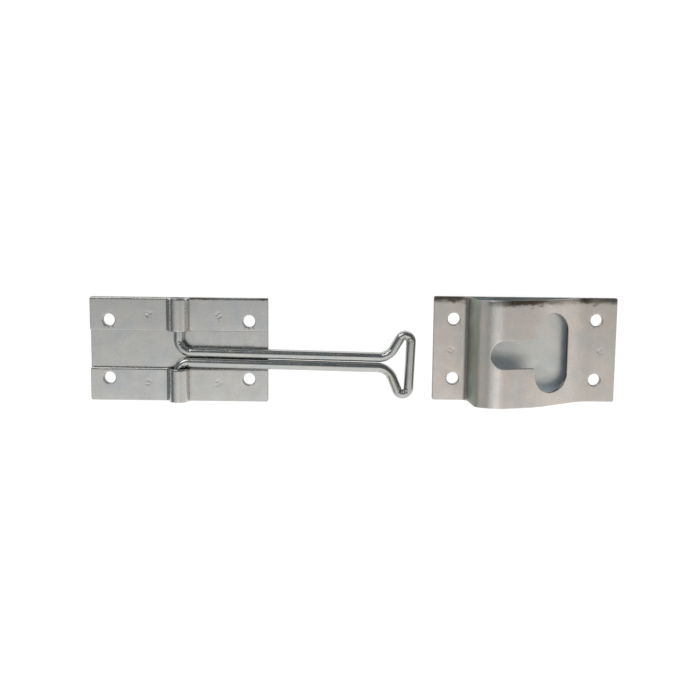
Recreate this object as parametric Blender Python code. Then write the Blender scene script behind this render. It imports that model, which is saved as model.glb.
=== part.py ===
"""Door holder: a wire T-hook hinged on a bracket, and the slotted keeper it hooks into.

The bracket and the keeper lie side by side on one mounting plane, z = 0. The origin is the centre of
the bracket's back face, +X runs along the hook towards the keeper, and +Z points out of the plane.
"""
import math

import bmesh
import bpy
from mathutils import Vector

MM = 0.001

# Sheet metal: every plate is a back sheet with a front sheet lying on it.
SHEET = 1.2 * MM
SHEET_GAP = 0.3 * MM
FRONT_BACK_FACE = SHEET + SHEET_GAP
FRONT_FACE = FRONT_BACK_FACE + SHEET
PLATE_HEIGHT = 44.6 * MM
PLATE_CORNER = 0.6 * MM
SCREW_HOLE_RADIUS = 2.6 * MM

# Hinge bracket
BRACKET_LENGTH = 76.2 * MM
BRACKET_HOLE_X = 30.0 * MM
BRACKET_HOLE_Y = 12.5 * MM
STRAP_WIDTH = 14.3 * MM
KNUCKLE_HEIGHT = 8.3 * MM
KNUCKLE_CROWN_HALF = 4.0 * MM
KNUCKLE_FOOT_HALF = 4.6 * MM
KNUCKLE_FOOT_BEND = 1.3 * MM

# Wire hook, bent in one plane: stubs in the knuckles, two close legs, and a triangular head.
# Its stubs are loose in the knuckles: it has slid down by HOOK_DROP and lies askew by HOOK_TILT.
WIRE_RADIUS = 2.15 * MM
PIVOT_HEIGHT = 3.9 * MM
HOOK_DROP = 2.9 * MM
HOOK_TILT = math.radians(-0.95)
HOOK_REACH = 101.4 * MM
STUB_HALF_SPAN = 17.6 * MM
UPPER_STUB_BEND = 5.4 * MM
LOWER_STUB_BEND = 4.4 * MM
LEG_HALF_SPACING = 2.22 * MM
NECK_X = 89.7 * MM
NECK_HALF_SPACING = 2.24 * MM
NECK_BEND = 7.0 * MM
HEAD_CORNER_HALF = 21.25 * MM
HEAD_DROP = 1.55 * MM
HEAD_BEND = 2.55 * MM
BAR_LEAN = 0.9 * MM

# Keeper: back plate with a formed front plate over it. Its bulge is given about the keeper's centre,
# as (x, z) corners of the front face: a steep wall, a crest, and a slope that runs out in a toe.
KEEPER_X = 147.7 * MM
KEEPER_Y = 1.8 * MM
KEEPER_LENGTH = 78.0 * MM
KEEPER_HOLE_X = 30.4 * MM
KEEPER_HOLE_Y = 12.8 * MM
BULGE_FOOT = (-24.4 * MM, FRONT_FACE)
BULGE_FOOT_BEND = 2.6 * MM
BULGE_SHOULDER = (-22.7 * MM, 19.2 * MM)
BULGE_SHOULDER_BEND = 4.5 * MM
BULGE_CREST = (-14.2 * MM, 23.3 * MM)
BULGE_CREST_BEND = 10.0 * MM
BULGE_BROW = (3.4 * MM, 18.0 * MM)
BULGE_BROW_BEND = 26.0 * MM
BULGE_TOE = (24.6 * MM, FRONT_FACE)
BULGE_TOE_BEND = 14.0 * MM

# T-shaped slot through the bulge
NECK_SLOT_LEFT = -16.8 * MM
NECK_SLOT_WIDTH = 11.6 * MM
ENTRY_SLOT_LEFT = 2.3 * MM
ENTRY_SLOT_WIDTH = 15.2 * MM
ENTRY_SLOT_LENGTH = 33.4 * MM
SLOT_INNER_CORNER = 1.2 * MM

ARC_STEP = math.radians(11.25)
WIRE_ARC_STEP = math.radians(9.0)
HOLE_STEPS = 32
WIRE_BEVEL_STEPS = 6
SHARP_ANGLE = math.radians(35)
CUTTER_REACH = 5.0 * MM
ANCHOR_SIZE = 10 * MM
WELD_DISTANCE = 0.01 * MM

# Zinc plating: base colour and roughness
BRACKET_ZINC = ((0.60, 0.61, 0.60), 0.34)
WIRE_ZINC = ((0.66, 0.67, 0.66), 0.22)
KEEPER_ZINC = ((0.62, 0.60, 0.57), 0.38)


def clear_scene():
    for obj in list(bpy.data.objects):
        bpy.data.objects.remove(obj, do_unlink=True)


def new_collection(name):
    collection = bpy.data.collections.new(name)
    bpy.context.scene.collection.children.link(collection)
    return collection


def steel(name, colour, roughness):
    """Zinc-plated steel."""
    material = bpy.data.materials.new(name)
    material.use_nodes = True
    shader = material.node_tree.nodes["Principled BSDF"]
    shader.inputs["Base Color"].default_value = (*colour, 1.0)
    shader.inputs["Metallic"].default_value = 1.0
    shader.inputs["Roughness"].default_value = roughness
    return material


def bend(before, corner, after, radius, step):
    """Points of the arc that rounds one corner, tangent to both of its straight sides."""
    into = (corner - before).normalized()
    out = (after - corner).normalized()
    turn = into.angle_signed(out)
    setback = radius * math.tan(abs(turn) / 2)
    start = corner - into * setback
    side = math.copysign(1.0, turn)
    centre = start + Vector((into.y, -into.x)) * side * radius
    spoke = start - centre
    count = max(2, math.ceil(abs(turn) / step))
    points = []
    for i in range(count + 1):
        angle = -turn * i / count
        points.append(centre + Vector((spoke.x * math.cos(angle) - spoke.y * math.sin(angle),
                                       spoke.x * math.sin(angle) + spoke.y * math.cos(angle))))
    return points


def rounded(corners, closed=False, step=ARC_STEP):
    """A line through (x, y, bend radius) corners, with an arc at each corner that has a radius."""
    line = []
    count = len(corners)
    for i, (x, y, radius) in enumerate(corners):
        corner = Vector((x, y))
        if radius == 0:
            points = [corner]
        else:
            before = Vector(corners[i - 1][:2])
            after = Vector(corners[(i + 1) % count][:2])
            points = bend(before, corner, after, radius, step)
        line += [p for p in points if not line or (p - line[-1]).length > WELD_DISTANCE]
    if closed and (line[0] - line[-1]).length <= WELD_DISTANCE:
        line.pop()
    return line


def screw_hole(centre_x, centre_y):
    angles = [2 * math.pi * i / HOLE_STEPS for i in range(HOLE_STEPS)]
    return [Vector((centre_x + SCREW_HOLE_RADIUS * math.cos(angle),
                    centre_y + SCREW_HOLE_RADIUS * math.sin(angle))) for angle in angles]


def rounded_rectangle(length, height, corner):
    half_x = length / 2
    half_y = height / 2
    corners = [(half_x, half_y), (-half_x, half_y), (-half_x, -half_y), (half_x, -half_y)]
    return rounded([(x, y, corner) for x, y in corners], closed=True)


def sheet_section(front):
    """Closed section of a bent sheet, from the line of its front face."""
    back = []
    for i, point in enumerate(front):
        before = (point - front[max(i - 1, 0)]).normalized()
        after = (front[min(i + 1, len(front) - 1)] - point).normalized()
        along = (before + after).normalized()
        normal = Vector((along.y, -along.x))
        half_turn = before.angle(after) / 2 if before.length and after.length else 0.0
        back.append(point + normal * SHEET / math.cos(half_turn))
    return front + back[::-1]


def spline(curve, points, cyclic):
    line = curve.splines.new("POLY")
    line.points.add(len(points) - 1)
    for target, point in zip(line.points, points):
        target.co = (point.x, point.y, 0.0, 1.0)
    line.use_cyclic_u = cyclic


def curve_to_solid(name, curve, collection):
    """A mesh object made from a curve's surface, with its caps welded on."""
    source = bpy.data.objects.new(name, curve)
    bpy.context.scene.collection.objects.link(source)
    evaluated = source.evaluated_get(bpy.context.evaluated_depsgraph_get())
    mesh = bpy.data.meshes.new_from_object(evaluated)
    bpy.data.objects.remove(source, do_unlink=True)
    bm = bmesh.new()
    bm.from_mesh(mesh)
    bmesh.ops.remove_doubles(bm, verts=bm.verts, dist=WELD_DISTANCE)
    bmesh.ops.recalc_face_normals(bm, faces=bm.faces)
    bm.to_mesh(mesh)
    bm.free()
    mesh.name = name
    mesh.shade_smooth()
    mesh.set_sharp_from_angle(angle=SHARP_ANGLE)
    solid = bpy.data.objects.new(name, mesh)
    collection.objects.link(solid)
    return solid


def flat_solid(name, outlines, thickness, collection):
    """Outlines, the first one outermost, filled and thickened about their plane."""
    curve = bpy.data.curves.new(name, "CURVE")
    curve.dimensions = "2D"
    curve.fill_mode = "BOTH"
    curve.extrude = thickness / 2
    for outline in outlines:
        spline(curve, outline, cyclic=True)
    return curve_to_solid(name, curve, collection)


def wire_solid(name, line, radius, collection):
    """A round wire along a line in the XY plane."""
    curve = bpy.data.curves.new(name, "CURVE")
    curve.dimensions = "3D"
    curve.bevel_depth = radius
    curve.bevel_resolution = WIRE_BEVEL_STEPS
    curve.use_fill_caps = True
    spline(curve, line, cyclic=False)
    return curve_to_solid(name, curve, collection)


def place(obj, parent, location, material, rotation=(0.0, 0.0, 0.0)):
    obj.parent = parent
    obj.location = location
    obj.rotation_euler = rotation
    obj.data.materials.append(material)


def as_cutter(obj, parent, location):
    obj.parent = parent
    obj.location = location
    obj.hide_render = True
    obj.display_type = "WIRE"


def cut(obj, cutter):
    modifier = obj.modifiers.new(cutter.name, "BOOLEAN")
    modifier.operation = "DIFFERENCE"
    modifier.solver = "EXACT"
    modifier.object = cutter


def anchor(name, location, collection):
    """An empty that carries one assembly."""
    empty = bpy.data.objects.new(name, None)
    empty.empty_display_size = ANCHOR_SIZE
    empty.location = location
    collection.objects.link(empty)
    return empty


def screw_hole_cutter(name, hole_x, hole_y, parent, collection):
    """Four upright cylinders through both sheets."""
    mesh = bpy.data.meshes.new(name)
    bm = bmesh.new()
    depth = FRONT_FACE + 2 * CUTTER_REACH
    for x in (-hole_x, hole_x):
        for y in (-hole_y, hole_y):
            made = bmesh.ops.create_cone(bm, cap_ends=True, segments=HOLE_STEPS, depth=depth,
                                         radius1=SCREW_HOLE_RADIUS, radius2=SCREW_HOLE_RADIUS)
            bmesh.ops.translate(bm, verts=made["verts"], vec=(x, y, FRONT_FACE / 2))
    bm.to_mesh(mesh)
    bm.free()
    cutter = bpy.data.objects.new(name, mesh)
    collection.objects.link(cutter)
    as_cutter(cutter, parent, (0.0, 0.0, 0.0))
    return cutter


def back_plate(name, length, hole_x, hole_y, parent, material, collection):
    holes = [screw_hole(x, y) for x in (-hole_x, hole_x) for y in (-hole_y, hole_y)]
    outline = rounded_rectangle(length, PLATE_HEIGHT, PLATE_CORNER)
    plate = flat_solid(name, [outline] + holes, SHEET, collection)
    place(plate, parent, (0.0, 0.0, SHEET / 2), material)
    return plate


def bent_sheet(name, corners, width, centre_y, parent, material, collection):
    """A sheet bent across its length. The corners are (x, z, bend radius) of its front face."""
    section = sheet_section(rounded(corners))
    sheet = flat_solid(name, [section], width, collection)
    place(sheet, parent, (0.0, centre_y, 0.0), material, rotation=(math.pi / 2, 0.0, 0.0))
    return sheet


def strap_corners():
    """The knuckle's two upper bends meet at its crown, which makes it half round."""
    end = BRACKET_LENGTH / 2
    lean = math.atan2(KNUCKLE_FOOT_HALF - KNUCKLE_CROWN_HALF, KNUCKLE_HEIGHT - FRONT_FACE)
    crown_bend = KNUCKLE_CROWN_HALF / math.tan((math.pi / 2 - lean) / 2)
    return [(-end, FRONT_FACE, 0),
            (-KNUCKLE_FOOT_HALF, FRONT_FACE, KNUCKLE_FOOT_BEND),
            (-KNUCKLE_CROWN_HALF, KNUCKLE_HEIGHT, crown_bend),
            (KNUCKLE_CROWN_HALF, KNUCKLE_HEIGHT, crown_bend),
            (KNUCKLE_FOOT_HALF, FRONT_FACE, KNUCKLE_FOOT_BEND),
            (end, FRONT_FACE, 0)]


def keeper_corners():
    end = KEEPER_LENGTH / 2
    return [(-end, FRONT_FACE, 0),
            (*BULGE_FOOT, BULGE_FOOT_BEND),
            (*BULGE_SHOULDER, BULGE_SHOULDER_BEND),
            (*BULGE_CREST, BULGE_CREST_BEND),
            (*BULGE_BROW, BULGE_BROW_BEND),
            (*BULGE_TOE, BULGE_TOE_BEND),
            (end, FRONT_FACE, 0)]


def hook_line():
    """The wire's centre line about the hook's own middle line, from one stub end to the other."""
    bar_x = HOOK_REACH - WIRE_RADIUS
    return rounded([(0.0, STUB_HALF_SPAN, 0),
                    (0.0, LEG_HALF_SPACING, UPPER_STUB_BEND),
                    (NECK_X, NECK_HALF_SPACING, NECK_BEND),
                    (bar_x, HEAD_CORNER_HALF - HEAD_DROP, HEAD_BEND),
                    (bar_x - BAR_LEAN, -HEAD_CORNER_HALF - HEAD_DROP, HEAD_BEND),
                    (NECK_X, -NECK_HALF_SPACING, NECK_BEND),
                    (0.0, -LEG_HALF_SPACING, LOWER_STUB_BEND),
                    (0.0, -STUB_HALF_SPAN, 0)], step=WIRE_ARC_STEP)


def slot_outline():
    """The narrow slot for the hook's neck, running into the tall slot that its head enters."""
    left = NECK_SLOT_LEFT
    neck = NECK_SLOT_WIDTH / 2
    entry = ENTRY_SLOT_LEFT
    right = entry + ENTRY_SLOT_WIDTH
    end = ENTRY_SLOT_LENGTH / 2
    lower = [(left, -neck, neck),
             (entry, -neck, SLOT_INNER_CORNER),
             (entry, -end, ENTRY_SLOT_WIDTH / 2),
             (right, -end, ENTRY_SLOT_WIDTH / 2)]
    upper = [(x, -y, radius) for x, y, radius in reversed(lower)]
    return rounded(lower + upper, closed=True)


def build_bracket(parts, cutters):
    anchor_empty = anchor("bracket", (0.0, 0.0, 0.0), parts)
    zinc = steel("bracket_zinc", *BRACKET_ZINC)
    back_plate("hinge_back_plate", BRACKET_LENGTH, BRACKET_HOLE_X, BRACKET_HOLE_Y,
               anchor_empty, zinc.copy(), parts)
    holes = screw_hole_cutter("bracket_screw_holes", BRACKET_HOLE_X, BRACKET_HOLE_Y,
                              anchor_empty, cutters)
    strap_y = (PLATE_HEIGHT - STRAP_WIDTH) / 2
    for name, side in (("upper_strap", 1), ("lower_strap", -1)):
        strap = bent_sheet(name, strap_corners(), STRAP_WIDTH, side * strap_y,
                           anchor_empty, zinc.copy(), parts)
        cut(strap, holes)


def build_hook(parts):
    hook = wire_solid("t_hook", hook_line(), WIRE_RADIUS, parts)
    zinc = steel("hook_zinc", *WIRE_ZINC)
    place(hook, None, (0.0, -HOOK_DROP, PIVOT_HEIGHT), zinc, rotation=(0.0, 0.0, HOOK_TILT))


def build_keeper(parts, cutters):
    anchor_empty = anchor("keeper", (KEEPER_X, KEEPER_Y, 0.0), parts)
    zinc = steel("keeper_zinc", *KEEPER_ZINC)
    back_plate("keeper_back_plate", KEEPER_LENGTH, KEEPER_HOLE_X, KEEPER_HOLE_Y,
               anchor_empty, zinc.copy(), parts)
    front = bent_sheet("keeper_front_plate", keeper_corners(), PLATE_HEIGHT, 0.0,
                       anchor_empty, zinc.copy(), parts)
    holes = screw_hole_cutter("keeper_screw_holes", KEEPER_HOLE_X, KEEPER_HOLE_Y,
                              anchor_empty, cutters)
    slot_depth = BULGE_CREST[1]
    slot = flat_solid("t_slot", [slot_outline()], slot_depth, cutters)
    as_cutter(slot, anchor_empty, (0.0, 0.0, FRONT_BACK_FACE + slot_depth / 2))
    cut(front, holes)
    cut(front, slot)


def main():
    clear_scene()
    parts = new_collection("door_holder")
    cutters = new_collection("cutters")
    build_bracket(parts, cutters)
    build_hook(parts)
    build_keeper(parts, cutters)


main()
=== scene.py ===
import math

import bmesh
import bpy
from mathutils import Matrix, Vector, noise
from mathutils.geometry import delaunay_2d_cdt


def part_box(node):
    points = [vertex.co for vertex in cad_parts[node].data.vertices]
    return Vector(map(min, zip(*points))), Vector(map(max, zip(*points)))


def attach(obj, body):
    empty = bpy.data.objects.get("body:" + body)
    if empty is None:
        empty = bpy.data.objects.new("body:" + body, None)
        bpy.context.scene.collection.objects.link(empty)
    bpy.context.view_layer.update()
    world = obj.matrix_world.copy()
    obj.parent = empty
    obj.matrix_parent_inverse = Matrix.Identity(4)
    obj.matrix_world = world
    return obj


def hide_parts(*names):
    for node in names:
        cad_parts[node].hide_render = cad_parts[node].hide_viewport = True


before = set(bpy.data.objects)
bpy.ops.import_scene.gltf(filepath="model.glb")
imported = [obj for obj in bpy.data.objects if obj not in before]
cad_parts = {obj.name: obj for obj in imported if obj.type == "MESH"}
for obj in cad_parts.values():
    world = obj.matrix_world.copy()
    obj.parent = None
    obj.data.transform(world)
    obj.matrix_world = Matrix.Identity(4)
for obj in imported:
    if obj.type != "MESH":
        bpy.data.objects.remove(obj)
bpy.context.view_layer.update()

MM = 0.001

# Sheet metal. Front edges are rolled over by the shear, back edges only broken.
SHEET = 1.2 * MM
FRONT_FACE = 2.7 * MM
ROLLOVER = 0.34 * MM
HOLE_ROLLOVER = 0.38 * MM
SLOT_ROLLOVER = 0.3 * MM
BACK_EDGE = 0.12 * MM
CORNER = 0.7 * MM
SCREW_HOLE = 2.6 * MM
RIPPLE = 0.035 * MM
RIPPLE_LENGTH = 17.0 * MM
SHRINK = 0.0001                     # share by which a sheet is drawn inside its full size

# The shear's bevel along the top edges
STRAP_BEVEL_REACH = 0.85 * MM
STRAP_BEVEL_SLOPES = (0.45, 0.2)
STRAP_BEVEL_WAVINESS = 0.3
KEEPER_BEVEL_REACH = 2.2 * MM
KEEPER_BEVEL_SLOPES = (0.16, 0.13)
KEEPER_BEVEL_WAVINESS = 0.8
BEVEL_CHANGE = 4 * MM
BEVEL_WAVE = 5 * MM
BEVEL_SOFTNESS = 0.2

# Faint round marks that the spot welder left on the front faces
DENT_RINGS = [0.4 * MM, 0.7 * MM, 1.0 * MM, 1.25 * MM, 1.5 * MM, 1.8 * MM]
DENT_DEPTH = 0.036 * MM
DENT_GRAIN = 1.0 * MM

# How finely surfaces are divided
SAME_POINT = 0.01 * MM
EDGE_SPACING = 2.5 * MM
CAP_SPACING = 3.0 * MM
SLOT_SPACING = 1.2 * MM
WIRE_SPACING = 2.0 * MM
TOP_STEPS = [0.15 * MM, 0.3 * MM, 0.45 * MM, 0.6 * MM, 0.8 * MM, 1.1 * MM, 1.6 * MM, 2.4 * MM, 3.4 * MM]
CREASE_SNAP = 0.02 * MM
BACK_EDGE_STEPS = 2
ROLLOVER_STEPS = 5
BEND_STEP = math.radians(5)
CORNER_STEP = math.radians(15)
WIRE_BEND_STEP = math.radians(4)
HOLE_SIDES = 40
DENT_SIDES = 28
WIRE_SIDES = 40
FACE_WEIGHT = 60
MERGE_DISTANCE = 1e-7
INSIDE_ONLY = 1                     # the triangulation's mode that drops what lies outside its loops

# Straps, about the bracket's centre
KNUCKLE_TOP = 8.3 * MM
CROWN_HALF = 4.0 * MM
FOOT_HALF = 4.6 * MM
FOOT_BEND = 1.3 * MM
BRACKET_HOLE_X = 30.0 * MM
BRACKET_HOLE_Y = 12.5 * MM
UPPER_WELDS = [(-13.1 * MM, 15.2 * MM), (16.9 * MM, 14.9 * MM)]
LOWER_WELDS = [(-13.6 * MM, -14.3 * MM), (16.7 * MM, -14.4 * MM)]

# Keeper front plate, about the keeper's centre. BULGE is (x, z, bend radius) at its front face's corners.
KEEPER_HOLE_X = 30.4 * MM
KEEPER_HOLE_Y = 12.8 * MM
KEEPER_WELDS = [(-31.2 * MM, -0.5 * MM), (32.4 * MM, -0.5 * MM)]
BULGE = [(-24.4 * MM, FRONT_FACE, 2.6 * MM),
         (-22.7 * MM, 19.2 * MM, 4.5 * MM),
         (-14.2 * MM, 23.3 * MM, 10.0 * MM),
         (3.4 * MM, 18.0 * MM, 26.0 * MM),
         (24.6 * MM, FRONT_FACE, 14.0 * MM)]
NECK_LEFT = -16.8 * MM
NECK_HALF = 5.8 * MM
ENTRY_LEFT = 2.3 * MM
ENTRY_RIGHT = 17.5 * MM
ENTRY_HALF = 16.7 * MM
SHOULDER_LINE_X = -21.4 * MM
CREST_X = -14.2 * MM
SLOT_INNER_CORNER = 1.2 * MM

# Wire hook, about the middle of its pivot
WIRE = 2.15 * MM
STUB_HALF_SPAN = 17.6 * MM
UPPER_STUB_BEND = 5.4 * MM
LOWER_STUB_BEND = 4.4 * MM
LEG_HALF = 2.22 * MM
NECK_X = 89.7 * MM
NECK_LEG_HALF = 2.24 * MM
NECK_BEND = 7.0 * MM
HOOK_REACH = 101.4 * MM
HEAD_CORNER_HALF = 21.25 * MM
HEAD_DROP = 1.55 * MM
HEAD_BEND = 2.55 * MM
BAR_LEAN = 0.9 * MM
HOOK_DROP = 2.9 * MM
HOOK_TILT = math.radians(-0.95)
PIVOT_HEIGHT = 3.9 * MM
END_CHAMFER = 0.35 * MM
CRUMPLE = 0.55 * MM
CRUMPLE_GRAIN = 0.7 * MM
CRUMPLE_SPREAD = 0.2
TIGHT_BEND = 6.5 * MM
WIRE_WEAR = 0.012
WIRE_WEAR_LENGTH = 6 * MM


# ---------------------------------------------------------------- lines and outlines

def bend(before, corner, after, radius):
    """Start, centre, start angle and sweep of the arc that rounds a corner, and its end point."""
    into = (corner - before).normalized()
    out = (after - corner).normalized()
    sweep = -into.angle_signed(out)
    setback = radius * math.tan(abs(sweep) / 2)
    start = corner - into * setback
    side = math.copysign(1.0, sweep)
    centre = start + Vector((-into.y, into.x)) * side * radius
    spoke = start - centre
    return start, centre, math.atan2(spoke.y, spoke.x), sweep


def arc_points(centre, radius, angle, sweep, step):
    count = max(2, math.ceil(abs(sweep) / step))
    turns = [angle + sweep * i / count for i in range(count + 1)]
    return [centre + Vector((math.cos(turn), math.sin(turn))) * radius for turn in turns]


def rounded(corners, closed, step=math.radians(6)):
    """Points of a line through (x, y, bend radius) corners."""
    line = []
    count = len(corners)
    for i, (x, y, radius) in enumerate(corners):
        corner = Vector((x, y))
        points = [corner]
        if radius:
            before = Vector(corners[i - 1][:2])
            after = Vector(corners[(i + 1) % count][:2])
            start, centre, angle, sweep = bend(before, corner, after, radius)
            points = arc_points(centre, radius, angle, sweep, step)
        line += [p for p in points if not line or (p - line[-1]).length > SAME_POINT]
    if closed and (line[0] - line[-1]).length <= SAME_POINT:
        line.pop()
    return line


class BentLine:
    """The front face of a bent sheet in its section: straight runs and arcs, measured along its length."""

    def __init__(self, corners):
        self.runs = []
        self.length = 0.0
        here = Vector(corners[0][:2])
        for i in range(1, len(corners)):
            corner = Vector(corners[i][:2])
            radius = corners[i][2]
            if radius:
                following = Vector(corners[i + 1][:2])
                start, centre, angle, sweep = bend(here, corner, following, radius)
                self.add_straight(here, start)
                self.runs.append(("arc", self.length, centre, radius, angle, sweep))
                self.length += radius * abs(sweep)
                last = angle + sweep
                here = centre + Vector((math.cos(last), math.sin(last))) * radius
            else:
                self.add_straight(here, corner)
                here = corner

    def add_straight(self, start, end):
        if (end - start).length > SAME_POINT / 10:
            self.runs.append(("straight", self.length, start, (end - start).normalized()))
            self.length += (end - start).length

    def at(self, s):
        """Point and outward normal at a length s along the line."""
        run = self.runs[0]
        for candidate in self.runs:
            if candidate[1] <= s:
                run = candidate
        if run[0] == "straight":
            direction = run[3]
            return run[2] + direction * (s - run[1]), Vector((-direction.y, direction.x))
        _, begin, centre, radius, angle, sweep = run
        turned = angle + math.copysign((s - begin) / radius, sweep)
        spoke = Vector((math.cos(turned), math.sin(turned)))
        return centre + spoke * radius, spoke * -math.copysign(1.0, sweep)

    def stations(self, step):
        """Lengths at which a sheet is creased finely enough to follow the arcs."""
        found = []
        for i, run in enumerate(self.runs):
            end = self.runs[i + 1][1] if i + 1 < len(self.runs) else self.length
            if run[0] == "arc":
                count = max(2, math.ceil(abs(run[5]) / step))
                found += [run[1] + (end - run[1]) * k / count for k in range(count + 1)]
        return sorted(found)

    def length_at(self, x):
        """Length along the line at which it reaches x, for a line that never turns back."""
        low, high = 0.0, self.length
        for _ in range(50):
            middle = (low + high) / 2
            if self.at(middle)[0].x < x:
                low = middle
            else:
                high = middle
        return (low + high) / 2


def signed_area(loop):
    return sum(a.x * b.y - b.x * a.y for a, b in zip(loop, loop[1:] + loop[:1])) / 2


def oriented(loop, solid_inside):
    """The loop, turned so that metal is on its left."""
    return loop if (signed_area(loop) > 0) == solid_inside else loop[::-1]


def divided(loop, longest):
    """The loop with its long straight sides cut into shorter ones."""
    points = []
    for a, b in zip(loop, loop[1:] + loop[:1]):
        count = max(1, math.ceil((b - a).length / longest))
        points += [a.lerp(b, i / count) for i in range(count)]
    return points


def inset(loop, distance):
    """The loop moved into the metal by a distance, at a corner at most twice as far."""
    moved = []
    for before, here, after in zip(loop[-1:] + loop[:-1], loop, loop[1:] + loop[:1]):
        into = (here - before).normalized()
        out = (after - here).normalized()
        along = (into + out).normalized()
        moved.append(here + Vector((-along.y, along.x)) * distance / max(0.5, along.dot(out)))
    return moved


def circle(x, y, radius, sides):
    turns = [2 * math.pi * i / sides for i in range(sides)]
    return [Vector((x + radius * math.cos(turn), y + radius * math.sin(turn))) for turn in turns]


def contains(loop, point):
    """Whether a point lies inside a loop."""
    inside = False
    for a, b in zip(loop, loop[1:] + loop[:1]):
        if (a.y > point.y) != (b.y > point.y):
            if point.x < a.x + (b.x - a.x) * (point.y - a.y) / (b.y - a.y):
                inside = not inside
    return inside


# ---------------------------------------------------------------- pressed sheets

def quarter_turns(steps):
    return [math.pi / 2 * i / steps for i in range(steps + 1)]


def edge_profile(rollover):
    """(inset, depth below the front face, rim) of the rings from the back face's edge to the front's.

    rim is 1 on the sheared edge and falls to 0 where its rollover meets the front face."""
    rings = []
    for turn in quarter_turns(BACK_EDGE_STEPS):
        rings.append((BACK_EDGE * (1 - math.sin(turn)), SHEET - BACK_EDGE * (1 - math.cos(turn)), 1.0))
    for turn in quarter_turns(ROLLOVER_STEPS):
        rim = 1.0 - (turn / (math.pi / 2)) ** 2
        rings.append((rollover * (1 - math.cos(turn)), rollover * (1 - math.sin(turn)), rim))
    return rings


def grid_points(low, high, spacing):
    """A staggered grid of points that fills a box."""
    columns = round((high.x - low.x) / spacing)
    rows = round((high.y - low.y) / spacing)
    points = []
    for i in range(1, columns):
        for j in range(1, rows):
            stagger = 0.25 if j % 2 else -0.25
            points.append(Vector((low.x + (high.x - low.x) * (i + stagger) / columns,
                                  low.y + (high.y - low.y) * j / rows)))
    return points


def cap_triangles(loops, dents, spacing):
    """Points and triangles that fill the sheet inside its loops, finer around each weld dent."""
    points = []
    edges = []
    for loop in loops + [circle(x, y, r, DENT_SIDES) for x, y in dents for r in DENT_RINGS]:
        start = len(points)
        points += loop
        edges += [(start + i, start + (i + 1) % len(loop)) for i in range(len(loop))]
    fixed = points[:]
    points += [Vector(dent) for dent in dents]
    outer, inner = loops[0], loops[1:]
    low = Vector((min(p.x for p in outer), min(p.y for p in outer)))
    high = Vector((max(p.x for p in outer), max(p.y for p in outer)))
    for p in grid_points(low, high, spacing):
        clear = all((p - q).length > spacing * 0.6 for q in fixed)
        if clear and contains(outer, p) and not any(contains(hole, p) for hole in inner):
            if all((p - Vector(dent)).length > DENT_RINGS[-1] + spacing * 0.5 for dent in dents):
                points.append(p)
    verts, _, faces, origins, _, _ = delaunay_2d_cdt(points, edges, [], INSIDE_ONLY, MERGE_DISTANCE)
    index = {}
    for new, old in enumerate(origins):
        for o in old:
            index[o] = new
    kept = []
    for face in faces:
        middle = sum((verts[i] for i in face), Vector((0.0, 0.0))) / 3
        if not any(contains(hole, middle) for hole in inner):
            kept.append(face)
    return verts, kept, index


def dent_depth(point, dents):
    """How far a spot weld's electrode has marked the front face: a faint, broken ring with a pip."""
    depth = 0.0
    for x, y in dents:
        away = point - Vector((x, y))
        r = away.length / DENT_RINGS[-1]
        if r < 1:
            broken = 0.6 + noise.noise(Vector((point.x, point.y, 0.0)) / DENT_GRAIN)
            depth += DENT_DEPTH * broken * (1 - abs(2 * r - 1)) * 2
            depth += DENT_DEPTH * max(0.0, 1 - 4 * r)
    return depth


def ripple(point, seed):
    """The gentle unevenness of pressed sheet, always into the metal."""
    place = Vector((point.x, point.y, 0.0)) / RIPPLE_LENGTH + Vector((seed * 7.3, seed * 3.1, seed))
    fine = Vector((point.x, point.y, 0.0)) / (RIPPLE_LENGTH * 0.3) + Vector((seed, 5.0, seed * 2.0))
    return RIPPLE * (1.0 + 0.5 * noise.noise(place)) + 0.1 * RIPPLE * (1 + noise.noise(fine))


def crease(bm, place, normal):
    parts = bm.verts[:] + bm.edges[:] + bm.faces[:]
    bmesh.ops.bisect_plane(bm, geom=parts, dist=CREASE_SNAP, plane_co=place, plane_no=normal)


def edge_walls(bm, loop, profile):
    """The sheet's edge along one loop, as a stack of vertex rings from back to front."""
    rim = bm.verts.layers.float["rim"]
    stack = []
    for distance, depth, share in profile:
        ring = [bm.verts.new((p.x, p.y, -depth)) for p in inset(loop, distance)]
        for vert in ring:
            vert[rim] = share
        stack.append(ring)
    for lower, upper in zip(stack, stack[1:]):
        for i in range(len(lower)):
            j = (i + 1) % len(lower)
            bm.faces.new((lower[i], lower[j], upper[j], upper[i]))
    return stack


def close_face(bm, rings, dents, depth, side):
    """Fill the flat face that the rings of all the sheet's edges leave open."""
    edge_loops = [[Vector(vert.co.xy) for vert in ring] for ring in rings]
    verts, faces, index = cap_triangles(edge_loops, dents, CAP_SPACING)
    edge_verts = [vert for ring in rings for vert in ring]
    made = {index[i]: vert for i, vert in enumerate(edge_verts)}
    for face in faces:
        for i in face:
            if i not in made:
                made[i] = bm.verts.new((verts[i].x, verts[i].y, -depth))
        corners = [made[i] for i in face]
        bm.faces.new(corners if side > 0 else corners[::-1])


def flat_sheet(bm, outer, holes, dents):
    """The sheet before it is bent: x along it, y across it, front face at z = 0."""
    loops = [(divided(oriented(outer, True), EDGE_SPACING), ROLLOVER)]
    loops += [(divided(oriented(loop, False), EDGE_SPACING), rollover) for loop, rollover in holes]
    stacks = [edge_walls(bm, loop, edge_profile(rollover)) for loop, rollover in loops]
    close_face(bm, [stack[-1] for stack in stacks], dents, 0.0, 1)
    close_face(bm, [stack[0] for stack in stacks], [], SHEET, -1)


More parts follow.
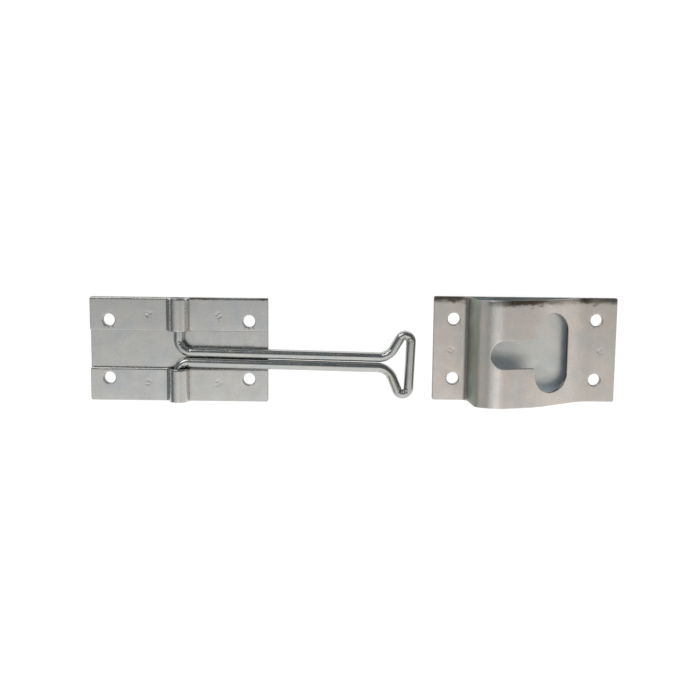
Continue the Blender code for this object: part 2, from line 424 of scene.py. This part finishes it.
def pressed_sheet(name, outer, holes, dents, front, droop, seed):
    """A closed mesh of one sheet: laid out flat, rolled over at its edges, and bent to its front line.

    outer is a loop, holes are (loop, rollover), and droop(s, y) lowers the front face near an edge."""
    bm = bmesh.new()
    bm.verts.layers.float.new("rim")
    bm.verts.layers.float.new("under")
    flat_sheet(bm, outer, holes, dents)
    for s in front.stations(BEND_STEP):
        crease(bm, (s, 0, 0), (1, 0, 0))
    top = max(p.y for p in outer)
    middle = Vector((front.length / 2, (top + min(p.y for p in outer)) / 2))
    for step in TOP_STEPS:
        crease(bm, (0, top - step, 0), (0, 1, 0))
    under = bm.verts.layers.float["under"]
    for vert in bm.verts:
        flat = Vector((vert.co.x, vert.co.y))
        height = vert.co.z
        vert[under] = 1.0 if height < -SHEET + SAME_POINT else 0.0
        share = max(0.0, 1 + height / SHEET)
        height -= share * (ripple(flat, seed) + dent_depth(flat, dents) + droop(flat.x, flat.y))
        flat += (middle - flat) * SHRINK
        point, normal = front.at(min(max(flat.x, 0.0), front.length))
        point += normal * height
        vert.co = (point.x, flat.y, point.y)
    bmesh.ops.recalc_face_normals(bm, faces=bm.faces)
    return mesh_piece(name, bm)


def mesh_piece(name, bm):
    mesh = bpy.data.meshes.new(name)
    bm.to_mesh(mesh)
    bm.free()
    mesh.shade_smooth()
    obj = bpy.data.objects.new(name, mesh)
    bpy.context.scene.collection.objects.link(obj)
    weighted = obj.modifiers.new("weighted_normals", "WEIGHTED_NORMAL")
    weighted.mode = "FACE_AREA"
    weighted.weight = FACE_WEIGHT
    return obj


def rectangle(length, low, high):
    corners = [(0.0, low), (length, low), (length, high), (0.0, high)]
    return rounded([(x, y, CORNER) for x, y in corners], closed=True, step=CORNER_STEP)


def no_droop(s, y):
    return 0.0


def sheared_top(top, reach, slopes, turn, waviness):
    """How the shear has bevelled a top edge: one slope before a turning length and another after it."""
    def droop(s, y):
        near = max(0.0, 1 - (top - y) / reach)
        blend = min(1.0, max(0.0, 0.5 + (s - turn) / BEVEL_CHANGE))
        slope = slopes[0] + (slopes[1] - slopes[0]) * blend
        wave = 1 + waviness * noise.noise(Vector((s, top, 0.0)) / BEVEL_WAVE)
        return slope * wave * reach * near * near / (near + BEVEL_SOFTNESS)
    return droop


def attached(piece, node, body):
    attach(piece, body)
    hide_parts(node)
    return piece


def screw_hole(x, y):
    return circle(x, y, SCREW_HOLE, HOLE_SIDES), HOLE_ROLLOVER


def back_plate(name, node, hole_x, hole_y, body, seed):
    """A flat plate with four screw holes."""
    low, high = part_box(node)
    length = high.x - low.x
    middle = (low + high) / 2
    front = BentLine([(low.x, high.z, 0), (high.x, high.z, 0)])
    holes = [screw_hole(middle.x - low.x + x, middle.y + y)
             for x in (-hole_x, hole_x) for y in (-hole_y, hole_y)]
    outline = rectangle(length, low.y, high.y)
    plate = pressed_sheet(name, outline, holes, [], front, no_droop, seed)
    return attached(plate, node, body)


def strap(name, node, welds, seed):
    """One strap of the bracket, with its half-round knuckle."""
    low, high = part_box(node)
    lean = math.atan2(FOOT_HALF - CROWN_HALF, KNUCKLE_TOP - FRONT_FACE)
    crown_bend = CROWN_HALF / math.tan((math.pi / 2 - lean) / 2)
    front = BentLine([(low.x, FRONT_FACE, 0),
                      (-FOOT_HALF, FRONT_FACE, FOOT_BEND),
                      (-CROWN_HALF, KNUCKLE_TOP, crown_bend),
                      (CROWN_HALF, KNUCKLE_TOP, crown_bend),
                      (FOOT_HALF, FRONT_FACE, FOOT_BEND),
                      (high.x, FRONT_FACE, 0)])
    side = math.copysign(1.0, low.y + high.y)
    holes = [screw_hole(front.length_at(x), side * BRACKET_HOLE_Y)
             for x in (-BRACKET_HOLE_X, BRACKET_HOLE_X)]
    dents = [(front.length_at(x), y) for x, y in welds]
    droop = sheared_top(high.y, STRAP_BEVEL_REACH, STRAP_BEVEL_SLOPES, front.length_at(-FOOT_HALF),
                        STRAP_BEVEL_WAVINESS)
    outline = rectangle(front.length, low.y, high.y)
    piece = pressed_sheet(name, outline, holes, dents, front, droop, seed)
    return attached(piece, node, "bracket")


def slot_outline(front, centre):
    """The T-shaped slot, unrolled onto the sheet."""
    entry_radius = (ENTRY_RIGHT - ENTRY_LEFT) / 2
    lower = [(NECK_LEFT, -NECK_HALF, NECK_HALF),
             (ENTRY_LEFT, -NECK_HALF, SLOT_INNER_CORNER),
             (ENTRY_LEFT, -ENTRY_HALF, entry_radius),
             (ENTRY_RIGHT, -ENTRY_HALF, entry_radius)]
    upper = [(x, -y, radius) for x, y, radius in reversed(lower)]
    loop = divided(rounded(lower + upper, closed=True), SLOT_SPACING)
    return [Vector((front.length_at(centre.x + p.x), centre.y + p.y)) for p in loop]


def keeper_front(name, node, seed):
    """The keeper's front plate, with its lopsided bulge and T-shaped slot."""
    low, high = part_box(node)
    centre = Vector(((low.x + high.x) / 2, (low.y + high.y) / 2))
    corners = [(low.x, FRONT_FACE, 0)] + [(centre.x + x, z, r) for x, z, r in BULGE]
    front = BentLine(corners + [(high.x, FRONT_FACE, 0)])
    holes = [(slot_outline(front, centre), SLOT_ROLLOVER)]
    holes += [screw_hole(front.length_at(centre.x + x), centre.y + y)
              for x in (-KEEPER_HOLE_X, KEEPER_HOLE_X) for y in (-KEEPER_HOLE_Y, KEEPER_HOLE_Y)]
    dents = [(front.length_at(centre.x + x), centre.y + y) for x, y in KEEPER_WELDS]
    outline = rectangle(front.length, low.y, high.y)
    droop = sheared_top(high.y, KEEPER_BEVEL_REACH, KEEPER_BEVEL_SLOPES, front.length / 2,
                        KEEPER_BEVEL_WAVINESS)
    piece = pressed_sheet(name, outline, holes, dents, front, droop, seed)
    return attached(piece, node, "keeper")


# ---------------------------------------------------------------- bent wire

def hook_line():
    """The wire's middle line, flat, from the upper stub's end around the head to the lower stub's end."""
    bar_x = HOOK_REACH - WIRE
    return rounded([(0.0, STUB_HALF_SPAN, 0),
                    (0.0, LEG_HALF, UPPER_STUB_BEND),
                    (NECK_X, NECK_LEG_HALF, NECK_BEND),
                    (bar_x, HEAD_CORNER_HALF - HEAD_DROP, HEAD_BEND),
                    (bar_x - BAR_LEAN, -HEAD_CORNER_HALF - HEAD_DROP, HEAD_BEND),
                    (NECK_X, -NECK_LEG_HALF, NECK_BEND),
                    (0.0, -LEG_HALF, LOWER_STUB_BEND),
                    (0.0, -STUB_HALF_SPAN, 0)], closed=False, step=WIRE_BEND_STEP)


def resampled(line, longest):
    points = []
    for a, b in zip(line, line[1:]):
        count = max(1, math.ceil((b - a).length / longest))
        points += [a.lerp(b, i / count) for i in range(count)]
    return points + [line[-1]]


def wire_stations(line):
    """(point, direction, towards the inside of the bend by its tightness) along the wire."""
    stations = []
    for i, point in enumerate(line):
        previous = line[max(i - 1, 0)]
        following = line[min(i + 1, len(line) - 1)]
        before = (point - previous).normalized()
        after = (following - point).normalized()
        reach = (following - previous).length / 2
        tightness = min(1.0, (after - before).length / reach * TIGHT_BEND / 2)
        stations.append((point, (before + after).normalized(), (after - before).normalized() * tightness))
    return stations


def wire_rings(stations):
    """(point, direction, radius, inward) of the wire's rings, with a chamfer at each cut end."""
    (start, along_start, _), (end, along_end, _) = stations[0], stations[-1]
    straight = Vector((0.0, 0.0))
    rings = [(start, along_start, WIRE - END_CHAMFER, straight),
             (start + along_start * END_CHAMFER, along_start, WIRE, straight)]
    rings += [(point, along, WIRE, inward) for point, along, inward in stations[1:-1]]
    return rings + [(end - along_end * END_CHAMFER, along_end, WIRE, straight),
                    (end, along_end, WIRE - END_CHAMFER, straight)]


def wire_ring(bm, point, along, radius, inward):
    """One ring around the wire, a little worn, and crumpled on the inside of a tight bend."""
    across = Vector((-along.y, along.x))
    wear = 0.5 + 0.5 * noise.noise(Vector((point.x, point.y, 0)) / WIRE_WEAR_LENGTH)
    ring = []
    for k in range(WIRE_SIDES):
        angle = 2 * math.pi * k / WIRE_SIDES
        inside = max(0.0, across.dot(inward) * math.cos(angle) + CRUMPLE_SPREAD * inward.length)
        here = Vector((point.x, point.y, math.sin(angle) * radius)) / CRUMPLE_GRAIN
        size = radius * (1.0 - WIRE_WEAR * wear) - CRUMPLE * inside * abs(noise.noise(here)) * 2
        out = across * math.cos(angle) * size
        ring.append(bm.verts.new((point.x + out.x, point.y + out.y, math.sin(angle) * size)))
    return ring


def wire_hook(name, node):
    """The bent wire: round, crumpled inside its tight bends, with chamfered cut ends."""
    line = resampled(hook_line(), WIRE_SPACING)
    bm = bmesh.new()
    loops = [wire_ring(bm, *ring) for ring in wire_rings(wire_stations(line))]
    for a, b in zip(loops, loops[1:]):
        for k in range(WIRE_SIDES):
            m = (k + 1) % WIRE_SIDES
            bm.faces.new((a[k], b[k], b[m], a[m]))
    bm.faces.new(loops[0])
    bm.faces.new(loops[-1][::-1])
    bmesh.ops.recalc_face_normals(bm, faces=bm.faces)
    turn = Matrix.Rotation(HOOK_TILT, 4, "Z")
    place = Matrix.Translation((0.0, -HOOK_DROP, PIVOT_HEIGHT)) @ turn
    bmesh.ops.transform(bm, matrix=place, verts=bm.verts)
    return attached(mesh_piece(name, bm), node, "hook")


# ---------------------------------------------------------------- zinc plating

class Nodes:
    """Short calls for building one material's node tree."""

    def __init__(self, name):
        self.material = bpy.data.materials.new(name)
        self.material.use_nodes = True
        self.tree = self.material.node_tree
        self.shader = self.tree.nodes["Principled BSDF"]
        coordinates = self.tree.nodes.new("ShaderNodeTexCoord")
        self.place = coordinates.outputs["Object"]

    def link(self, source, target):
        self.tree.links.new(source, target)

    def noise(self, size, stretch=(1, 1, 1), detail=3.0, shift=0.0):
        """Noise with features of about one size, drawn out along an axis by stretch."""
        mapping = self.tree.nodes.new("ShaderNodeMapping")
        mapping.inputs["Scale"].default_value = [1.0 / (size * k) for k in stretch]
        mapping.inputs["Location"].default_value = (shift, shift * 0.7, shift * 1.3)
        self.link(self.place, mapping.inputs["Vector"])
        texture = self.tree.nodes.new("ShaderNodeTexNoise")
        texture.inputs["Scale"].default_value = 1.0
        texture.inputs["Detail"].default_value = detail
        self.link(mapping.outputs["Vector"], texture.inputs["Vector"])
        return texture.outputs["Fac"]

    def ramp(self, factor, stops):
        """A colour ramp from (position, colour) stops."""
        node = self.tree.nodes.new("ShaderNodeValToRGB")
        elements = node.color_ramp.elements
        while len(elements) < len(stops):
            elements.new(0.5)
        for element, (position, colour) in zip(elements, stops):
            element.position = position
            element.color = (*colour, 1.0)
        self.link(factor, node.inputs["Fac"])
        return node.outputs["Color"]

    def spread(self, factor, low, high, start=0.3, end=0.7):
        """The factor's middle range spread between two values."""
        node = self.tree.nodes.new("ShaderNodeMapRange")
        node.inputs["From Min"].default_value = start
        node.inputs["From Max"].default_value = end
        node.inputs["To Min"].default_value = low
        node.inputs["To Max"].default_value = high
        self.link(factor, node.inputs["Value"])
        return node.outputs["Result"]

    def mix(self, a, b, factor, blend="MIX"):
        node = self.tree.nodes.new("ShaderNodeMix")
        node.data_type = "RGBA"
        node.blend_type = blend
        for socket, value in ((node.inputs[0], factor), (node.inputs[6], a), (node.inputs[7], b)):
            if isinstance(value, bpy.types.NodeSocket):
                self.link(value, socket)
            elif isinstance(value, (int, float)):
                socket.default_value = value
            else:
                socket.default_value = (*value, 1.0)
        return node.outputs[2]

    def calculate(self, operation, a, b):
        node = self.tree.nodes.new("ShaderNodeMath")
        node.operation = operation
        for socket, value in ((node.inputs[0], a), (node.inputs[1], b)):
            if isinstance(value, bpy.types.NodeSocket):
                self.link(value, socket)
            else:
                socket.default_value = value
        return node.outputs["Value"]

    def product(self, a, b):
        return self.calculate("MULTIPLY", a, b)

    def distance(self, value, centre):
        return self.calculate("ABSOLUTE", self.calculate("SUBTRACT", value, centre), 0.0)

    def bump(self, height, distance, strength):
        node = self.tree.nodes.new("ShaderNodeBump")
        node.inputs["Distance"].default_value = distance
        node.inputs["Strength"].default_value = strength
        self.link(height, node.inputs["Height"])
        return node.outputs["Normal"]

    def axes(self):
        """The object's own x, y and z."""
        node = self.tree.nodes.new("ShaderNodeSeparateXYZ")
        self.link(self.place, node.inputs[0])
        return node.outputs

    def attribute(self, name):
        """A value that the mesh carries at its vertices."""
        node = self.tree.nodes.new("ShaderNodeAttribute")
        node.attribute_name = name
        return node.outputs["Fac"]


def tinted(colour, factor):
    return tuple(c * f for c, f in zip(colour, factor))


def greys(stops):
    return [(position, (grey, grey, grey)) for position, grey in stops]


CLOUD_TINTS = [(0.30, (0.93, 0.975, 1.0)), (0.45, (0.99, 1.0, 0.99)),
               (0.58, (1.03, 1.02, 1.0)), (0.72, (1.05, 1.01, 0.955))]
WORN_RIM = (0.62, 0.62, 0.60)
CUT_EDGE = (0.30, 0.30, 0.30)
# painted shade: a dark blue-grey colour for every sheet's back face
UNDERSIDE_PAINTED_SHADE = (0.34, 0.43, 0.50)
STRAP_MARK = (0.45, 0.38, 0.32)
KEEPER_MARK = (0.30, 0.25, 0.21)
# painted highlight: colour that brightens the keeper's crest
CREST_PAINTED_HIGHLIGHT = (1.26, 1.28, 1.31)
# painted shade and painted reflection: colour that darkens the keeper's steep wall and tints it green
WALL_PAINTED_SHADE = (0.50, 0.57, 0.52)
SHOULDER_LINE_TINT = (0.80, 0.72, 0.72)

# How strong the dark top-edge marks are along a piece, by the share of its length
STRAP_MARK_PLACES = greys([(0.55, 0.0), (0.58, 1.0), (0.68, 0.7), (0.76, 0.3), (0.93, 0.3), (0.96, 1.0)])
KEEPER_MARK_PLACES = greys([(0.0, 0.8), (0.14, 0.9), (0.20, 0.0), (0.33, 0.1), (0.39, 1.0), (0.56, 0.85),
                            (0.66, 0.25), (0.78, 0.2), (0.81, 1.0), (0.92, 0.5), (1.0, 0.7)])


def no_marks_or_painted_light(n):
    return []


def dark_top_edge_mark(n, node, places, reach, shift):
    """Ragged marks that hang down from a piece's top edge, in places along it."""
    low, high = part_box(node)
    x, y, _ = n.axes()
    ragged = n.noise(3.2 * MM, stretch=(1, 0.55, 1), detail=5.0, shift=shift)
    below = n.calculate("DIVIDE", n.calculate("SUBTRACT", high.y, y), reach)
    body = n.calculate("SUBTRACT", ragged, n.product(below, 0.5))
    mark = n.spread(body, 0.0, 1.0, start=0.14, end=0.30)
    return n.product(mark, n.ramp(n.spread(x, 0.0, 1.0, start=low.x, end=high.x), places))


def bracket_edge_marks(n):
    """Small brown marks along the upper strap's top edge, to the right of its knuckle."""
    return [(dark_top_edge_mark(n, "upper_strap", STRAP_MARK_PLACES, 1.3 * MM, 51.0), STRAP_MARK)]


def keeper_middle():
    low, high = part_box("keeper_front_plate")
    return (low.x + high.x) / 2


def shoulder_line(n, x):
    """A thin, broken, reddish dark line along the shoulder."""
    thin = n.spread(n.distance(x, keeper_middle() + SHOULDER_LINE_X), 1.0, 0.0, start=0.08 * MM, end=0.28 * MM)
    return n.product(thin, n.spread(n.noise(6 * MM, detail=2.0, shift=13.0), 0.2, 1.0))


def crest_painted_highlight(n, x):
    """A painted highlight: a bright, brushed-looking line of colour along the crest."""
    crest = n.spread(n.distance(x, keeper_middle() + CREST_X), 1.0, 0.0, start=1.0 * MM, end=3.4 * MM)
    brushed = n.noise(0.7 * MM, stretch=(1, 12, 1), detail=2.0, shift=17.0)
    return n.product(crest, n.spread(brushed, 0.6, 1.0))


def wall_painted_shade(n, x):
    """Painted shade and painted reflection: the steep wall darkened and tinted green, from the flange to
    the shoulder.
    """
    crest_x = keeper_middle() + CREST_X
    rising = n.spread(x, 0.0, 1.0, start=crest_x - 11.2 * MM, end=crest_x - 9.4 * MM)
    falling = n.spread(x, 1.0, 0.0, start=crest_x - 7.9 * MM, end=crest_x - 7.0 * MM)
    return n.product(rising, falling)


def keeper_marks_and_painted_light(n):
    """(mask, colour) of the keeper's marks, its painted highlight and its painted shade, in the order in
    which they lie on each other.
    """
    x = n.axes()[0]
    mark = dark_top_edge_mark(n, "keeper_front_plate", KEEPER_MARK_PLACES, 3.6 * MM, 31.0)
    return [(crest_painted_highlight(n, x), CREST_PAINTED_HIGHLIGHT), (wall_painted_shade(n, x), WALL_PAINTED_SHADE),
            (mark, KEEPER_MARK), (shoulder_line(n, x), SHOULDER_LINE_TINT)]


def stretched_shoulder(n):
    """Where the keeper's sheet was drawn over the tight shoulder bend and lost its gloss."""
    off = n.distance(n.axes()[0], keeper_middle() + SHOULDER_LINE_X)
    return n.spread(off, 1.0, 0.0, start=1.6 * MM, end=3.6 * MM)


def plating_colour(n, colour, rim, worn_rim, shift, marks_and_painted_light):
    """Cloudy blue, green and straw tints, bare cut edges, painted shade on the underside, and the piece's
    marks and painted light.
    """
    stops = [(position, tinted(colour, tint)) for position, tint in CLOUD_TINTS]
    clouds = n.ramp(n.noise(9 * MM, detail=4.0, shift=shift), stops)
    speck = n.spread(n.noise(0.9 * MM, detail=4.0, shift=shift + 3), 0.965, 1.03)
    grey = n.tree.nodes.new("ShaderNodeCombineColor")
    for channel in ("Red", "Green", "Blue"):
        n.link(speck, grey.inputs[channel])
    shade = n.mix(clouds, grey.outputs["Color"], 1.0, "MULTIPLY")
    shade = n.mix(shade, tinted(colour, WORN_RIM), n.product(worn_rim, 0.55))
    cut = n.spread(rim, 0.0, 0.6, start=0.6, end=0.97)
    shade = n.mix(shade, tinted(colour, CUT_EDGE), cut)
    # painted shade: the back faces coloured dark blue-grey
    shade = n.mix(shade, UNDERSIDE_PAINTED_SHADE, n.attribute("under"))
    # the piece's marks, and its painted highlight and painted shade, laid over the colour
    for mask, mark_or_painted_light_colour in marks_and_painted_light(n):
        shade = n.mix(shade, mark_or_painted_light_colour, mask, "MULTIPLY")
    return shade


def plating_roughness(n, roughness, grain_stretch, worn_rim, shift, dulled):
    """Haze and fine grain, and less gloss at the worn rim and wherever dulled says."""
    grain = n.noise(0.5 * MM, stretch=grain_stretch, detail=2.0, shift=shift + 5)
    haze = n.noise(5 * MM, detail=3.0, shift=shift + 7)
    rough = n.calculate("ADD", n.spread(haze, roughness - 0.05, roughness + 0.05),
                        n.spread(grain, -0.02, 0.02))
    rough = n.calculate("ADD", rough, n.product(worn_rim, 0.14))
    if dulled:
        rough = n.calculate("ADD", rough, n.product(dulled(n), 0.32))
    return rough


ALONG_X = (9, 1, 1)
ALONG_Y = (1, 9, 1)


def zinc(name, colour, roughness, grain_stretch, shift, marks_and_painted_light=no_marks_or_painted_light, dulled=None):
    """Bright zinc plating on steel. shift sets its noises apart from those of other pieces."""
    n = Nodes(name)
    n.shader.inputs["Metallic"].default_value = 1.0
    rim = n.attribute("rim")
    worn_rim = n.product(rim, n.spread(n.noise(1.6 * MM, detail=2.0, shift=shift + 9), 0.35, 1.0))
    shade = plating_colour(n, colour, rim, worn_rim, shift, marks_and_painted_light)
    rough = plating_roughness(n, roughness, grain_stretch, worn_rim, shift, dulled)
    soft_waves = n.noise(2.2 * MM, detail=1.0, shift=shift + 11)
    n.link(shade, n.shader.inputs["Base Color"])
    n.link(rough, n.shader.inputs["Roughness"])
    n.link(n.bump(soft_waves, 0.02 * MM, 0.25), n.shader.inputs["Normal"])
    return n.material


def dress(piece, material):
    piece.data.materials.clear()
    piece.data.materials.append(material)


# ---------------------------------------------------------------- studio

CAMERA = (74.84 * MM, 57.01 * MM, 426.87 * MM)
CAMERA_TURN = (math.radians(-7.566), math.radians(0.222), math.radians(0.661))
CAMERA_LENS = 51.43
FLOOR_HALF = 6.0
FLOOR_PLACE = (0.07, 0.0, -0.02 * MM)
FLOOR_COLOUR = (0.3, 0.3, 0.3, 1.0)
FLOOR_GLOW = 0.92


def make_camera():
    data = bpy.data.cameras.new("camera")
    data.sensor_width = 36.0
    data.lens = CAMERA_LENS
    data.clip_start = 10 * MM
    camera = bpy.data.objects.new("camera", data)
    camera.location = CAMERA
    camera.rotation_mode = "ZXY"
    camera.rotation_euler = CAMERA_TURN
    bpy.context.scene.collection.objects.link(camera)
    bpy.context.scene.camera = camera


def make_floor():
    """A flat, pale floor just under the object."""
    bm = bmesh.new()
    bmesh.ops.create_grid(bm, x_segments=8, y_segments=8, size=FLOOR_HALF)
    mesh = bpy.data.meshes.new("floor")
    bm.to_mesh(mesh)
    bm.free()
    floor = bpy.data.objects.new("floor", mesh)
    floor.location = FLOOR_PLACE
    bpy.context.scene.collection.objects.link(floor)
    material = bpy.data.materials.new("floor")
    material.use_nodes = True
    shader = material.node_tree.nodes["Principled BSDF"]
    shader.inputs["Base Color"].default_value = FLOOR_COLOUR
    shader.inputs["Roughness"].default_value = 0.9
    shader.inputs["Specular IOR Level"].default_value = 0.0
    shader.inputs["Emission Color"].default_value = (1.0, 1.0, 1.0, 1.0)
    shader.inputs["Emission Strength"].default_value = FLOOR_GLOW
    mesh.materials.append(material)


# Studio light as seen from the set, in degrees from straight up: towards -Y one broad soft panel from
# overhead down to the horizon, which fades on its -X side, towards +Y a small one, and dim walls elsewhere.
WALLS = (0.12, 0.132, 0.138)
PANEL_STRENGTH = 0.86
PANEL_NEAR_EDGE = (6.0, -14.0)
PANEL_FAR_EDGE = (-80.0, -105.0)
PANEL_SIDE_EDGE = (-20.0, -68.0)
PANEL_CORE = 0.3
PANEL_CORE_REACH = 20.0
PANEL_CORE_SIDE = 1.0
SIDE_TINT_REACH = 0.8
SIDE_TINTS = ((0.985, 1.0, 0.99), (1.0, 0.98, 0.95))
SMALL_PANEL_AXIS = (-0.47, 0.69, 0.60)
SMALL_PANEL_EDGE = (12.0, 20.0)
SMALL_PANEL_STRENGTH = 2.5


class World:
    """Short calls for the studio's node tree."""

    def __init__(self):
        self.world = bpy.data.worlds.new("studio")
        self.world.use_nodes = True
        self.tree = self.world.node_tree
        self.background = self.tree.nodes["Background"]
        self.direction = self.tree.nodes.new("ShaderNodeTexCoord").outputs["Generated"]

    def wire(self, value, socket):
        if isinstance(value, bpy.types.NodeSocket):
            self.tree.links.new(value, socket)
        else:
            socket.default_value = value

    def math(self, operation, *values):
        node = self.tree.nodes.new("ShaderNodeMath")
        node.operation = operation
        for value, socket in zip(values, node.inputs):
            self.wire(value, socket)
        return node.outputs["Value"]

    def step(self, value, start, end):
        """Smooth rise from 0 at start to 1 at end."""
        node = self.tree.nodes.new("ShaderNodeMapRange")
        node.interpolation_type = "SMOOTHSTEP"
        self.wire(value, node.inputs["Value"])
        node.inputs["From Min"].default_value = start
        node.inputs["From Max"].default_value = end
        return node.outputs["Result"]

    def mix(self, factor, a, b):
        node = self.tree.nodes.new("ShaderNodeMix")
        node.data_type = "RGBA"
        node.clamp_factor = False
        self.wire(factor, node.inputs[0])
        for value, socket in ((a, node.inputs[6]), (b, node.inputs[7])):
            self.wire(value if isinstance(value, bpy.types.NodeSocket) else (*value, 1.0), socket)
        return node.outputs[2]


def make_world():
    """The studio: panel strength added up by direction, tinted, over dim walls."""
    w = World()
    parts = w.tree.nodes.new("ShaderNodeSeparateXYZ")
    w.wire(w.direction, parts.inputs[0])
    along, across, up = parts.outputs
    lean = w.math("DEGREES", w.math("ARCTAN2", across, up))
    side = w.math("DEGREES", w.math("ARCSINE", along))
    panel = w.math("MULTIPLY", w.step(lean, *PANEL_NEAR_EDGE), w.step(lean, *PANEL_FAR_EDGE[::-1]))
    panel = w.math("MULTIPLY", panel, w.step(side, *PANEL_SIDE_EDGE[::-1]))
    core_distance = w.math("ABSOLUTE", w.math("SUBTRACT", side, PANEL_CORE_SIDE))
    core = w.math("SUBTRACT", 1.0, w.step(core_distance, 0.0, PANEL_CORE_REACH))
    panel = w.math("MULTIPLY", panel, w.math("MULTIPLY_ADD", core, PANEL_CORE, 1.0))
    panel = w.math("MULTIPLY", panel, PANEL_STRENGTH)
    dot = w.tree.nodes.new("ShaderNodeVectorMath")
    dot.operation = "DOT_PRODUCT"
    w.wire(w.direction, dot.inputs[0])
    dot.inputs[1].default_value = Vector(SMALL_PANEL_AXIS).normalized()
    inner, outer = (math.cos(math.radians(edge)) for edge in SMALL_PANEL_EDGE)
    small = w.math("MULTIPLY", w.step(dot.outputs["Value"], outer, inner), SMALL_PANEL_STRENGTH)
    tint = w.mix(w.step(along, -SIDE_TINT_REACH, SIDE_TINT_REACH), *SIDE_TINTS)
    w.wire(w.mix(w.math("ADD", panel, small), WALLS, tint), w.background.inputs["Color"])
    bpy.context.scene.world = w.world


# ---------------------------------------------------------------- the whole set

def build():
    bracket_zinc = zinc("bracket_zinc", (0.62, 0.615, 0.612), 0.26, ALONG_X, 0.0, bracket_edge_marks)
    keeper_zinc = zinc("keeper_zinc", (0.675, 0.633, 0.60), 0.30, ALONG_Y, 20.0, keeper_marks_and_painted_light,
                       stretched_shoulder)
    rear_zinc = zinc("rear_zinc", (0.76, 0.75, 0.73), 0.36, ALONG_Y, 60.0)
    wire_zinc = zinc("wire_zinc", (0.52, 0.525, 0.52), 0.24, ALONG_X, 40.0)
    dress(back_plate("bracket_back_plate", "hinge_back_plate", BRACKET_HOLE_X, BRACKET_HOLE_Y,
                     "bracket", 1), bracket_zinc)
    dress(strap("bracket_upper_strap", "upper_strap", UPPER_WELDS, 2), bracket_zinc)
    dress(strap("bracket_lower_strap", "lower_strap", LOWER_WELDS, 3), bracket_zinc)
    dress(back_plate("keeper_rear_plate", "keeper_back_plate", KEEPER_HOLE_X, KEEPER_HOLE_Y,
                     "keeper", 4), rear_zinc)
    dress(keeper_front("keeper_formed_plate", "keeper_front_plate", 5), keeper_zinc)
    dress(wire_hook("wire_t_hook", "t_hook"), wire_zinc)


build()
make_floor()
make_world()
make_camera()
bpy.context.scene.view_settings.view_transform = "Standard"
